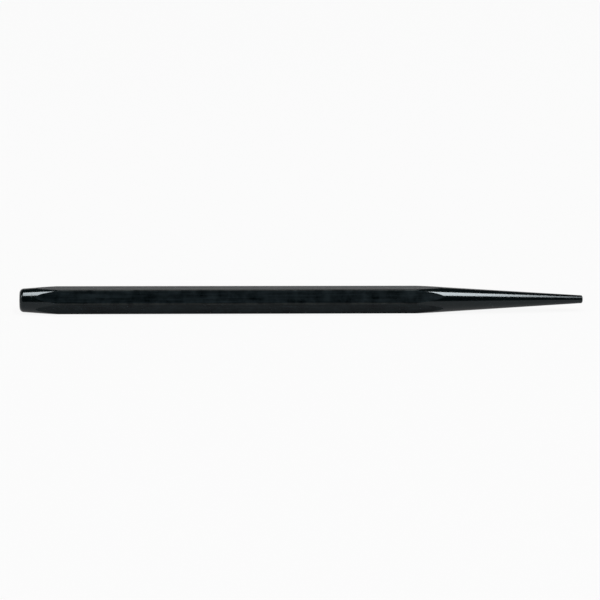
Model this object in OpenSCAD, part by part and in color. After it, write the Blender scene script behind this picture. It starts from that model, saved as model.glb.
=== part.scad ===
// Starting punch: one bar of hexagonal tool steel, turned to a long tapered nose at one end
// and to a short tapered head at the other. It lies on a flat, with its tip towards +X.

/* [Bar] */
// Distance between two opposite flats of the hexagonal bar
across_flats = 7.94; // [7:0.01:12.7]
// Length from the struck face to the tip
overall_length = 177.8; // [120:0.1:250]
// Depth by which the six corners of the bar are rounded off
corner_break = 0.1; // [0.02:0.01:0.3]

/* [Head] */
// Diameter at which the head's taper would meet the struck face with a sharp rim
head_d = 7.2; // [5:0.05:8]
// Length of the head's taper, from the struck face to where the bar has its full corners
head_taper_length = 12; // [5:0.5:40]
// Radius of the rounded rim between the struck face and the taper
head_rim_radius = 1.3; // [0.2:0.1:2]

/* [Nose] */
// Diameter at which the nose's taper would meet the tip face with a sharp edge
tip_d = 2.5; // [1.2:0.05:6]
// Length of the nose's taper, from where the bar has its full corners to the tip face
nose_length = 53.5; // [20:0.5:75]
// Width of the small bevel round the tip face
tip_bevel = 0.2; // [0.05:0.05:0.5]

/* [Hidden] */

// Number of sides of the bar, and the turn that puts one flat underneath
bar_sides = 6;
flat_down_turn = 180 / bar_sides;
// Smoothness of the turned surfaces
$fn = 96;

// Radius of the bar's rounded corners, which is also the largest turned radius
corner_r = across_flats / 2 / cos(flat_down_turn) - corner_break;
head_r = head_d / 2;
tip_r = tip_d / 2;

// Angles of the two tapers to the bar's axis
head_angle = atan2(corner_r - head_r, head_taper_length);
nose_angle = atan2(corner_r - tip_r, nose_length);

// Centre of the rim's arc, as [radius, distance along the axis]: it touches the struck face and the taper
rim_centre = [head_r - head_rim_radius * (1 - sin(head_angle)) / cos(head_angle), head_rim_radius];
// Steps in the rim's arc
rim_steps = 12;

// Points along an arc, with its angles counted from the direction of the radius
function arc(centre, radius, from, to, steps) = [
  for (i = [0 : steps])
    let (angle = from + (to - from) * i / steps)
    centre + radius * [cos(angle), sin(angle)]
];

// Half section of the turned form, as radius across and distance from the struck face upwards
module turned_profile() {
  polygon([
    [0, 0],
    each arc(rim_centre, head_rim_radius, -90, -head_angle, rim_steps),
    [corner_r, head_taper_length],
    [corner_r, overall_length - nose_length],
    [tip_r + tip_bevel * tan(nose_angle), overall_length - tip_bevel],
    [tip_r - tip_bevel, overall_length],
    [0, overall_length],
  ]);
}

// The drawn bar before turning, standing on its struck end
module hex_bar() {
  rotate([0, 0, flat_down_turn])
    cylinder(d = across_flats / cos(flat_down_turn), h = overall_length, $fn = bar_sides);
}

// Where a taper leaves the bar, each flat runs out in a rounded tongue and each corner in a point
module turned_bar() {
  intersection() {
    hex_bar();
    rotate_extrude() turned_profile();
  }
}

module punch() {
  color("#1b1d1e")
    translate([-overall_length / 2, 0, across_flats / 2])
      rotate([0, 90, 0])
        turned_bar();
}

punch();
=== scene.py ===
"""Looks of a starting punch: a black hexagonal bar with a ground nose and head, on pale paper."""

import logging
import math
from dataclasses import dataclass, replace
from enum import Enum

import bmesh
import bpy
from mathutils import Matrix, Quaternion, Vector


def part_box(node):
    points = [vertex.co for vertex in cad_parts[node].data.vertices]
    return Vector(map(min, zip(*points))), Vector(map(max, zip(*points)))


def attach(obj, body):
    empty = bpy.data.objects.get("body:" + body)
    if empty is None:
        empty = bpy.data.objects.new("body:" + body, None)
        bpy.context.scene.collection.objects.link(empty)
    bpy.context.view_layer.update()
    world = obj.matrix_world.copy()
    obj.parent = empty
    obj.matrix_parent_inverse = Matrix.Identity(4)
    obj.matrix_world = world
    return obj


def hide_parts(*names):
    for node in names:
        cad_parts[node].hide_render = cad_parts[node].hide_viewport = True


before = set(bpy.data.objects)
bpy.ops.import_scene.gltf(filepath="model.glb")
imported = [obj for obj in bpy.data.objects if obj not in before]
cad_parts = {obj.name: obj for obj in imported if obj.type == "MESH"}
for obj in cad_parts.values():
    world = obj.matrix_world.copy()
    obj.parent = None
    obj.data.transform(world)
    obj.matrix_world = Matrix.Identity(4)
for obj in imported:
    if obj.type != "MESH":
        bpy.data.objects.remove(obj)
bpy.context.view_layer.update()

MM = 0.001
# Watts that a square metre of a lamp's face takes to look as bright as white paper
FACE_POWER = math.pi
# A Mix node's sockets for colours, by number because those for numbers have the same names
MIX_COLOUR_A = 6
MIX_COLOUR_B = 7
MIX_COLOUR_OUT = 2
log = logging.getLogger("starting_punch")


class Zone(Enum):
    """The surfaces of the bar, by how each one was made; the value is its material slot."""

    DRAWN_FLAT = 0
    DRAWN_CORNER = 1
    GROUND_TAPER = 2
    FACED_END = 3


class Lay(Enum):
    """The direction that a tool left its fine lines in."""

    ALONG_BAR = "along"
    ROUND_BAR = "round"
    RINGS_ON_END = "rings"


def linear(hex_colour: str) -> tuple[float, float, float, float]:
    """Turns an sRGB hex colour into linear values, by the standard curve.

    Args:
        hex_colour: colour such as "#1a1b1c".

    Returns:
        Red, green, blue and alpha, as shaders take them.
    """
    shares = [byte / 255 for byte in bytes.fromhex(hex_colour[1:])]
    values = [s / 12.92 if s <= 0.04045 else ((s + 0.055) / 1.055) ** 2.4 for s in shares]
    return (*values, 1.0)


def add_node(
    tree: bpy.types.NodeTree,
    kind: str,
    inputs: dict[str | int, object] | None = None,
    **settings: object,
) -> bpy.types.Node:
    """Adds a node to a tree, with its settings, socket values and links.

    Args:
        tree: the node tree that gets the node.
        kind: the node's type.
        inputs: values or output sockets, by the input's name or number.
        settings: the node's own properties.

    Returns:
        The new node.
    """
    node = tree.nodes.new(kind)
    for name, value in settings.items():
        setattr(node, name, value)
    for key, value in (inputs or {}).items():
        if isinstance(value, bpy.types.NodeSocket):
            tree.links.new(value, node.inputs[key])
        else:
            node.inputs[key].default_value = value
    return node


def empty_material(name: str) -> bpy.types.Material:
    """Makes a material with no nodes in its tree yet.

    Args:
        name: name of the material.

    Returns:
        The material.
    """
    made = bpy.data.materials.new(name)
    made.use_nodes = True
    made.node_tree.nodes.clear()
    return made


def spin_outline(
    points: list[tuple[float, float]], axis: tuple[int, int, int], steps: int
) -> bmesh.types.BMesh:
    """Spins an open outline a full turn round an axis through the origin.

    Args:
        points: the outline, as places along X and along Z.
        axis: direction of the axis.
        steps: steps in the full turn.

    Returns:
        The spun surface.
    """
    bm = bmesh.new()
    verts = [bm.verts.new((along_x, 0.0, along_z)) for along_x, along_z in points]
    edges = [bm.edges.new(pair) for pair in zip(verts, verts[1:])]
    bmesh.ops.spin(
        bm,
        geom=verts + edges,
        cent=(0, 0, 0),
        axis=axis,
        angle=math.tau,
        steps=steps,
        use_merge=True,
    )
    return bm


def new_object(name: str, bm: bmesh.types.BMesh) -> bpy.types.Object:
    """Makes an object at the origin from a bmesh and frees the bmesh.

    Args:
        name: name of the object and its mesh.
        bm: the finished shape, in metres.

    Returns:
        The object, linked to the scene.
    """
    mesh = bpy.data.meshes.new(name)
    bm.to_mesh(mesh)
    bm.free()
    made = bpy.data.objects.new(name, mesh)
    bpy.context.scene.collection.objects.link(made)
    return made


def hang_lamp(
    name: str, size: tuple[float, float], brightness: float, place: Vector, turned: Matrix
) -> bpy.types.Object:
    """Makes a rectangular lamp and hangs it in the room.

    Args:
        name: name of the lamp.
        size: width and height of its face, in metres.
        brightness: brightness of its face, where white paper is 1.
        place: middle of its face, in metres.
        turned: its turn, with the light along its own -Z.

    Returns:
        The lamp, linked to the scene.
    """
    light = bpy.data.lights.new(name, "AREA")
    light.shape = "RECTANGLE"
    light.size, light.size_y = size
    light.energy = brightness * FACE_POWER * light.size * light.size_y
    lamp = bpy.data.objects.new(name, light)
    lamp.matrix_world = Matrix.Translation(place) @ turned.to_4x4()
    bpy.context.scene.collection.objects.link(lamp)
    return lamp


@dataclass(frozen=True)
class BlackOxide:
    """Black oxide on steel: a thin oiled skin of magnetite, about as smooth as the steel below it.

    Attributes:
        name: name of the material.
        thick: colour where the oxide is thick.
        thin: colour where the oxide is thin.
        sheen: colour of the gloss, a blue-black skin's being cool.
        roughness: roughness where the skin is closed and where it is open.
        specular: specular level of the oiled skin.
        lay: direction of the tool's lines.
        pitch_mm: spacing of the lines.
        run_mm: length of a line, without end for a ring.
        depth_mm: depth of a line.
        line_share: share of the lines, against the clouds, in how thin the oxide is.
        mottle_mm: width of the clouds in the oxide.
        axis_height: height of the bar's axis above its lower flat, in metres.
    """

    name: str
    thick: str
    thin: str
    sheen: str
    roughness: tuple[float, float]
    specular: float
    lay: Lay
    pitch_mm: float
    run_mm: float
    depth_mm: float
    line_share: float
    mottle_mm: float
    axis_height: float

    # Part of a noise's range in which nearly all of its values lie
    NOISE_LOW = 0.35
    NOISE_HIGH = 0.65
    # How much fine detail the clouds and the lines have
    CLOUD_DETAIL = 4.0
    CLOUD_GAIN = 0.6
    LINE_DETAIL = 3.0

    def material(self) -> bpy.types.Material:
        """Builds the node material.

        Returns:
            The material, with its patterns on Object coordinates.
        """
        made = empty_material(self.name)
        tree = made.node_tree
        place = add_node(tree, "ShaderNodeTexCoord").outputs["Object"]
        lines = self.lines(tree, place)
        clouds = add_node(
            tree,
            "ShaderNodeTexNoise",
            {
                "Vector": place,
                "Scale": 1 / (self.mottle_mm * MM),
                "Detail": self.CLOUD_DETAIL,
                "Roughness": self.CLOUD_GAIN,
            },
        ).outputs["Fac"]
        skin = add_node(
            tree,
            "ShaderNodeMix",
            {"Factor": self.line_share, "A": clouds, "B": lines},
        ).outputs["Result"]
        bare = add_node(
            tree,
            "ShaderNodeMapRange",
            {"Value": skin, "From Min": self.NOISE_LOW, "From Max": self.NOISE_HIGH},
        ).outputs["Result"]
        colour = add_node(
            tree,
            "ShaderNodeMix",
            {"Factor": bare, MIX_COLOUR_A: linear(self.thick), MIX_COLOUR_B: linear(self.thin)},
            data_type="RGBA",
        ).outputs[MIX_COLOUR_OUT]
        closed, opened = self.roughness
        rough = add_node(
            tree,
            "ShaderNodeMapRange",
            {"Value": bare, "To Min": closed, "To Max": opened},
        ).outputs["Result"]
        bump = add_node(
            tree,
            "ShaderNodeBump",
            {"Height": lines, "Distance": self.depth_mm * MM},
        ).outputs["Normal"]
        surface = add_node(
            tree,
            "ShaderNodeBsdfPrincipled",
            {
                "Base Color": colour,
                "Roughness": rough,
                "Normal": bump,
                "Specular IOR Level": self.specular,
                "Specular Tint": linear(self.sheen),
            },
        ).outputs["BSDF"]
        add_node(tree, "ShaderNodeOutputMaterial", {"Surface": surface})
        return made

    def lines(self, tree: bpy.types.NodeTree, place: bpy.types.NodeSocket) -> bpy.types.NodeSocket:
        """Adds the tool's lines as a noise stretched in the direction of the lay.

        Args:
            tree: the material's node tree.
            place: Object coordinates.

        Returns:
            The lines' height, from 0 to 1.
        """
        across, along = 1 / (self.pitch_mm * MM), 1 / (self.run_mm * MM)
        scale = {
            Lay.ALONG_BAR: (along, across, across),
            Lay.ROUND_BAR: (across, along, along),
            Lay.RINGS_ON_END: (0.0, across, across),
        }[self.lay]
        shift = (0.0, 0.0, -self.axis_height * scale[2])
        spread = add_node(
            tree,
            "ShaderNodeMapping",
            {"Vector": place, "Scale": scale, "Location": shift},
        ).outputs["Vector"]
        noise = {"Vector": spread, "Scale": 1.0, "Detail": self.LINE_DETAIL}
        dimensions = "3D"
        if self.lay is Lay.RINGS_ON_END:
            radius = add_node(tree, "ShaderNodeVectorMath", {0: spread}, operation="LENGTH")
            noise = {"W": radius.outputs["Value"], "Scale": 1.0}
            dimensions = "1D"
        return add_node(tree, "ShaderNodeTexNoise", noise, noise_dimensions=dimensions).outputs["Fac"]


@dataclass
class PunchBar:
    """The whole tool, one bar: a drawn hexagon with a ground head and nose. Sizes are in millimetres.

    Attributes:
        low: lowest corner of the bar's box, in metres.
        high: highest corner of the bar's box, in metres.
        head_diameter: where the head's taper would meet the struck face with a sharp rim.
        head_taper: length of the head's taper, to where the bar has its full corners.
        rim_radius: radius of the rim of the struck face.
        rim_segments: steps in the rim's arc.
        tip_diameter: where the nose's taper would meet the tip face with a sharp edge.
        nose_taper: length of the nose's taper, from where the bar has its full corners.
        tip_bevel: width of the bevel round the tip face.
        turn_steps: steps in a full turn of the ground surfaces.
        corner_steps: cuts from one flat of the hexagon to the next, round a corner.
        blank_margin: how far the blank stands clear of the hexagon's sharp corners.
    """

    low: Vector
    high: Vector
    head_diameter: float = 7.2
    head_taper: float = 12.0
    rim_radius: float = 1.3
    rim_segments: int = 10
    tip_diameter: float = 2.5
    nose_taper: float = 53.5
    tip_bevel: float = 0.2
    turn_steps: int = 192
    corner_steps: int = 6
    blank_margin: float = 0.1

    SIDES = 6
    # Angle between two faces from which their edge is shaded as a crease, in degrees
    CREASE = 20.0
    # How near to a cut a point counts as on it
    CUT_TOLERANCE = 1e-6
    # How far large faces outweigh small ones in the shading, so that flats look flat; 50 is even
    FLAT_WEIGHT = 100

    @property
    def length(self) -> float:
        """Length from the struck face to the tip."""
        return (self.high.x - self.low.x) / MM

    @property
    def flat_distance(self) -> float:
        """Distance from the axis to a flat."""
        return (self.high.z - self.low.z) / 2 / MM

    @property
    def corner_distance(self) -> float:
        """Distance from the axis to a rounded corner."""
        return (self.high.y - self.low.y) / 2 / MM

    @property
    def sharp_distance(self) -> float:
        """Distance from the axis to where a corner would be sharp."""
        return self.flat_distance / math.cos(math.pi / self.SIDES)

    @property
    def corner_radius(self) -> float:
        """Radius of the drawn bar's rounded corners."""
        return (self.sharp_distance - self.corner_distance) / (1 / math.cos(math.pi / self.SIDES) - 1)

    def profile(self) -> list[tuple[float, float]]:
        """Works out the outline that the ends are ground to.

        Returns:
            Points as distance from the struck face and radius, from the struck face to the tip face.
        """
        blank = self.sharp_distance + self.blank_margin
        head, tip = self.head_diameter / 2, self.tip_diameter / 2
        head_angle = math.atan2(self.corner_distance - head, self.head_taper)
        nose_slope = (self.corner_distance - tip) / self.nose_taper
        rim_centre = head - self.rim_radius * (1 - math.sin(head_angle)) / math.cos(head_angle)
        sweep = math.pi / 2 - head_angle
        rim = []
        for step in range(self.rim_segments + 1):
            turn = sweep * step / self.rim_segments
            along = self.rim_radius * (1 - math.cos(turn))
            rim.append((along, rim_centre + self.rim_radius * math.sin(turn)))
        return [
            *rim,
            ((blank - head) / math.tan(head_angle), blank),
            (self.length - (blank - tip) / nose_slope, blank),
            (self.length - self.tip_bevel, tip + self.tip_bevel * nose_slope),
            (self.length, tip - self.tip_bevel),
        ]

    def grind(self) -> bmesh.types.BMesh:
        """Spins the outline of the ends to a round blank and closes both ends.

        Returns:
            The blank, along X from the struck face at the origin.
        """
        bm = spin_outline(self.profile(), axis=(1, 0, 0), steps=self.turn_steps)
        for face in bm.faces:
            face.material_index = Zone.GROUND_TAPER.value
        open_edges = [edge for edge in bm.edges if edge.is_boundary]
        for face in bmesh.ops.holes_fill(bm, edges=open_edges, sides=0)["faces"]:
            face.material_index = Zone.FACED_END.value
        bmesh.ops.recalc_face_normals(bm, faces=bm.faces[:])
        return bm

    def draw_flats(self, bm: bmesh.types.BMesh) -> None:
        """Cuts the blank to the hexagon, with a few narrow facets round each corner.

        Args:
            bm: the round blank, which is changed in place.
        """
        inner = (self.flat_distance - self.corner_radius) / math.cos(math.pi / self.SIDES)
        for side in range(self.SIDES):
            for step in range(self.corner_steps):
                turn = math.tau / self.SIDES * (side + step / self.corner_steps)
                from_corner = math.pi / self.SIDES - math.tau / self.SIDES * step / self.corner_steps
                distance = inner * math.cos(from_corner) + self.corner_radius
                outward = Vector((0.0, math.sin(turn), math.cos(turn)))
                cut = bmesh.ops.bisect_plane(
                    bm,
                    geom=bm.verts[:] + bm.edges[:] + bm.faces[:],
                    dist=self.CUT_TOLERANCE,
                    plane_co=outward * distance,
                    plane_no=outward,
                    clear_outer=True,
                )["geom_cut"]
                rim = [part for part in cut if isinstance(part, bmesh.types.BMEdge)]
                zone = Zone.DRAWN_CORNER if step else Zone.DRAWN_FLAT
                for face in bmesh.ops.edgeloop_fill(bm, edges=rim)["faces"]:
                    face.material_index = zone.value
        bmesh.ops.recalc_face_normals(bm, faces=bm.faces[:])

    def mark_creases(self, bm: bmesh.types.BMesh) -> None:
        """Shades the surfaces smooth, with creases where ground meets drawn and at the tip's bevel.

        Args:
            bm: the finished shape, which is changed in place.
        """
        crease = math.radians(self.CREASE)
        ground = {Zone.GROUND_TAPER.value, Zone.FACED_END.value}
        for face in bm.faces:
            face.smooth = True
        for edge in bm.edges:
            made_alike = len({face.material_index in ground for face in edge.link_faces}) == 1
            edge.smooth = made_alike and edge.calc_face_angle(0.0) < crease

    def build(self) -> bpy.types.Object:
        """Makes the bar, puts it in the frame and dresses it.

        Returns:
            The finished piece.
        """
        bm = self.grind()
        self.draw_flats(bm)
        self.mark_creases(bm)
        axis = Vector((self.low.x, (self.low.y + self.high.y) / 2, (self.low.z + self.high.z) / 2))
        into_frame = Matrix.Translation(axis) @ Matrix.Scale(MM, 4)
        bmesh.ops.transform(bm, matrix=into_frame, verts=bm.verts[:])
        piece = new_object("punch_bar", bm)
        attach(piece, "root")
        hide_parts("punch")
        self.dress(piece)
        return piece

    def dress(self, piece: bpy.types.Object) -> None:
        """Gives the bar its shading and the finish of each zone.

        Args:
            piece: the bar.
        """
        weigh = piece.modifiers.new("flats_stay_flat", "WEIGHTED_NORMAL")
        weigh.weight = self.FLAT_WEIGHT
        weigh.keep_sharp = True
        for finish in self.finishes():
            piece.data.materials.append(finish.material())

    def finishes(self) -> list[BlackOxide]:
        """Gives the finish of each zone.

        Returns:
            One finish for each Zone, in the order of their values.
        """
        shared = {"axis_height": (self.low.z + self.high.z) / 2}
        # The die leaves faint lines along the flats, and the oxide lies on them in soft clouds: a flat
        # mirrors the room as a dim satin sheet. The lines are 0.1 mm apart on such stock, which is too
        # fine to show, and are drawn coarser.
        drawn = BlackOxide(
            name="black_oxide_on_drawn_steel",
            thick="#010405",
            thin="#161d20",
            sheen="#e9f9ff",
            roughness=(0.18, 0.27),
            specular=0.09,
            lay=Lay.ALONG_BAR,
            pitch_mm=0.5,
            run_mm=14.0,
            depth_mm=0.003,
            line_share=0.35,
            mottle_mm=4.0,
            **shared,
        )
        # Handling rubs the rounded corners first: the oxide is thinner there, in patches, and greyer.
        corner = replace(drawn, name="black_oxide_on_rubbed_corner", thick="#0e1011", thin="#2c2e2d")
        # Grinding leaves fine rings on the tapers, and the oxide on them is closed: they are blacker and
        # glossier than the flats. The rings are 0.1 mm apart on such a tool, which is too fine to show,
        # and are drawn coarser.
        ground = BlackOxide(
            name="black_oxide_on_ground_steel",
            thick="#020607",
            thin="#070c0d",
            sheen="#eefaff",
            roughness=(0.13, 0.15),
            specular=0.30,
            lay=Lay.ROUND_BAR,
            pitch_mm=0.7,
            run_mm=20.0,
            depth_mm=0.001,
            line_share=0.35,
            mottle_mm=3.0,
            **shared,
        )
        # Facing leaves rings round the axis on both ends, which make them duller than the tapers. A feed
        # of 0.1 mm is usual, which is too fine to show, and the rings are drawn coarser.
        faced = BlackOxide(
            name="black_oxide_on_faced_steel",
            thick="#070a0b",
            thin="#2b3132",
            sheen="#eefaff",
            roughness=(0.22, 0.28),
            specular=0.30,
            lay=Lay.RINGS_ON_END,
            pitch_mm=0.7,
            run_mm=math.inf,
            depth_mm=0.010,
            line_share=0.7,
            mottle_mm=3.0,
            **shared,
        )
        return [drawn, corner, ground, faced]


@dataclass
class PaperSweep:
    """Pale paper under and round the tool: a floor that curves up into a wall, open in front. Metres.

    Attributes:
        radius: radius of the wall.
        bend: radius of the curve from floor to wall.
        height: height of the wall.
        front: distance from the tool to the front edge of the floor.
        rim_rise: rise of the wall's rim from the front edge towards the back, as a slope.
        bend_steps: steps in the curve from floor to wall.
        turn_steps: steps in a full turn of the wall.
        colour: colour of the paper.
        white: plain white that the camera and gloss see over the paper's own colour.
        seen_white: share of plain white in what the camera sees of the paper.
        mirrored_white: share of plain white in what gloss and glass show of the paper.
    """

    radius: float = 2.4
    bend: float = 0.5
    height: float = 1.35
    front: float = 2.0
    rim_rise: float = 3.0
    bend_steps: int = 12
    turn_steps: int = 96
    colour: str = "#d6d6d6"
    white: str = "#fcfcfc"
    seen_white: float = 0.94
    mirrored_white: float = 0.5

    def outline(self) -> list[tuple[float, float]]:
        """Works out the section of the sweep.

        Returns:
            Points as distance from the middle and height, from the middle of the floor to the wall's rim.
        """
        points = [(0.0, 0.0)]
        for step in range(self.bend_steps + 1):
            turn = math.pi / 2 * step / self.bend_steps
            out = self.radius - self.bend + self.bend * math.sin(turn)
            points.append((out, self.bend * (1 - math.cos(turn))))
        points.append((self.radius, self.height))
        return points

    def build(self) -> bpy.types.Object:
        """Makes the sweep.

        Returns:
            The sweep.
        """
        bm = spin_outline(self.outline(), axis=(0, 0, 1), steps=self.turn_steps)
        bmesh.ops.remove_doubles(bm, verts=bm.verts[:], dist=MM)
        bmesh.ops.bisect_plane(
            bm,
            geom=bm.verts[:] + bm.edges[:] + bm.faces[:],
            plane_co=(0, -self.front, 0),
            plane_no=(0, -self.rim_rise, 1),
            clear_outer=True,
        )
        bmesh.ops.recalc_face_normals(bm, faces=bm.faces[:])
        for face in bm.faces:
            face.smooth = True
        sweep = new_object("paper_sweep", bm)
        sweep.data.materials.append(self.paper())
        return sweep

    def paper(self) -> bpy.types.Material:
        """Builds matte pale paper, which looks white to the camera but keeps the tool's shadow.

        Returns:
            The material.
        """
        # Uncoated paper has no gloss and scatters light evenly: the eye sees an even white with a faint
        # shadow where the tool lies, and the tool's lower surfaces mirror it as a soft grey.
        made = empty_material("matte_uncoated_paper")
        tree = made.node_tree
        path = add_node(tree, "ShaderNodeLightPath").outputs
        seen = add_node(
            tree,
            "ShaderNodeMath",
            {0: path["Is Camera Ray"], 1: self.seen_white},
            operation="MULTIPLY",
        ).outputs["Value"]
        mirrored = add_node(
            tree,
            "ShaderNodeMath",
            {0: path["Is Glossy Ray"], 1: path["Is Transmission Ray"]},
            operation="MAXIMUM",
        ).outputs["Value"]
        share = add_node(
            tree,
            "ShaderNodeMath",
            {0: mirrored, 1: self.mirrored_white, 2: seen},
            operation="MULTIPLY_ADD",
        ).outputs["Value"]
        matte = add_node(
            tree,
            "ShaderNodeBsdfDiffuse",
            {"Color": linear(self.colour)},
        ).outputs["BSDF"]
        white = add_node(
            tree,
            "ShaderNodeEmission",
            {"Color": linear(self.white), "Strength": 1.0},
        ).outputs["Emission"]
        mixed = add_node(
            tree,
            "ShaderNodeMixShader",
            {"Fac": share, 1: matte, 2: white},
        ).outputs["Shader"]
        add_node(tree, "ShaderNodeOutputMaterial", {"Surface": mixed})
        return made


@dataclass(frozen=True)
class Softbox:
    """One rectangular softbox that faces the tool.

    Attributes:
        name: name of the lamp.
        along: angle from the tool towards the tip's end, in degrees.
        elevation: angle above the floor on the camera's side, in degrees.
        width: angle that the box covers along the bar, in degrees.
        depth: angle that the box covers across the bar, in degrees.
        brightness: brightness of its face, where white paper is 1.
        distance: distance from the tool, in metres.
    """

    name: str
    along: float
    elevation: float
    width: float
    depth: float
    brightness: float
    distance: float = 2.0

    def build(self) -> bpy.types.Object:
        """Makes the lamp and turns it to the tool.

        Returns:
            The lamp.
        """
        along, tilt = math.radians(self.along), math.radians(self.elevation)
        outward = Vector(
            (math.sin(along), -math.cos(along) * math.cos(tilt), math.cos(along) * math.sin(tilt))
        )
        width, depth = (
            2 * self.distance * math.tan(math.radians(angle / 2)) for angle in (self.width, self.depth)
        )
        side = Vector((1.0, 0.0, 0.0))
        side = (side - outward * side.dot(outward)).normalized()
        turned = Matrix((side, outward.cross(side), outward)).transposed()
        return hang_lamp(self.name, (width, depth), self.brightness, outward * self.distance, turned)


@dataclass(frozen=True)
class WallLamp:
    """A lamp over the tool that lights the wall behind it. The tool is behind its face. Metres.

    Attributes:
        name: name of the lamp.
        place: where the lamp hangs.
        drop: how far its light falls on the way to the wall, as a slope.
        width: width of its face.
        height: height of its face.
        brightness: brightness of its face, where white paper is 1.
    """

    name: str = "wall_lamp"
    place: tuple[float, float, float] = (1.2, 0.4, 1.6)
    drop: float = 0.2
    width: float = 1.0
    height: float = 0.5
    brightness: float = 13.0

    def build(self) -> bpy.types.Object:
        """Makes the lamp and turns it to the wall.

        Returns:
            The lamp.
        """
        size = (self.width, self.height)
        turned = Vector((0.0, 1.0, -self.drop)).to_track_quat("-Z", "Y").to_matrix()
        return hang_lamp(self.name, size, self.brightness, Vector(self.place), turned)


@dataclass
class Studio:
    """A dim room with a bright softbox for each taper, a weak one for each end and a lamp for the wall.

    Attributes:
        room: brightness of the dim room.
        room_colour: colour of the room's light.
        wall_lamp: the lamp for the wall.
        boxes: the softboxes.
    """

    room: float = 0.02
    room_colour: str = "#ffffff"
    wall_lamp: WallLamp = WallLamp()
    boxes: tuple[Softbox, ...] = (
        Softbox("nose_softbox", along=16.0, elevation=70.0, width=6.2, depth=33.0, brightness=29.0),
        Softbox("head_softbox", along=-11.0, elevation=78.0, width=6.0, depth=34.0, brightness=24.0),
        Softbox("tip_side_fill", along=44.0, elevation=88.0, width=16.0, depth=10.0, brightness=7.0),
        Softbox("struck_side_fill", along=-46.0, elevation=70.0, width=32.0, depth=12.0, brightness=6.0),
    )

    def build(self) -> bpy.types.World:
        """Makes the lamps and the room's light.

        Returns:
            The world that lights the room.
        """
        for lamp in (self.wall_lamp, *self.boxes):
            lamp.build()
        world = bpy.data.worlds.new("dim_room")
        world.use_nodes = True
        background = world.node_tree.nodes["Background"]
        background.inputs["Color"].default_value = linear(self.room_colour)
        background.inputs["Strength"].default_value = self.room
        bpy.context.scene.world = world
        return world


@dataclass
class Viewpoint:
    """The camera of the photograph: a long lens, a little above the bench and nearer to the struck end.

    Attributes:
        target: middle of the tool, in metres.
        azimuth: angle round the tool, in degrees, with 0 square to the bar.
        elevation: angle above the bench, in degrees.
        roll: turn of the picture, in degrees.
        distance: distance from the middle of the picture, in metres.
        frame_width: width of the picture at the target, in metres.
        aim: how far the middle of the picture lies from the target, in metres.
    """

    target: Vector
    azimuth: float = -5.0
    elevation: float = 16.5
    roll: float = 1.31
    distance: float = 0.7
    frame_width: float = 0.189
    aim: tuple[float, float, float] = (-0.0012, 0.0, -0.00008)

    def build(self) -> bpy.types.Object:
        """Makes the camera and sets it as the scene's.

        Returns:
            The camera.
        """
        lens = bpy.data.cameras.new("viewpoint")
        lens.lens = lens.sensor_width * self.distance / self.frame_width
        made = bpy.data.objects.new("viewpoint", lens)
        turn, tilt = math.radians(self.azimuth), math.radians(self.elevation)
        level = math.cos(tilt)
        back = Vector((math.sin(turn) * level, -math.cos(turn) * level, math.sin(tilt)))
        made.location = self.target + Vector(self.aim) + back * self.distance
        made.rotation_mode = "QUATERNION"
        upright = (-back).to_track_quat("-Z", "Y")
        made.rotation_quaternion = upright @ Quaternion((0.0, 0.0, 1.0), math.radians(self.roll))
        bpy.context.scene.collection.objects.link(made)
        bpy.context.scene.camera = made
        return made


def main() -> None:
    """Builds the camera, the stage, the light and the tool, in that order."""
    logging.basicConfig(level=logging.INFO, format="%(message)s")
    bpy.context.scene.view_settings.view_transform = "Standard"
    low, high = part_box("punch")
    for maker in (Viewpoint((low + high) / 2), PaperSweep(), Studio(), PunchBar(low, high)):
        made = maker.build()
        log.info("built %s", made.name)


if __name__ == "__main__":
    main()
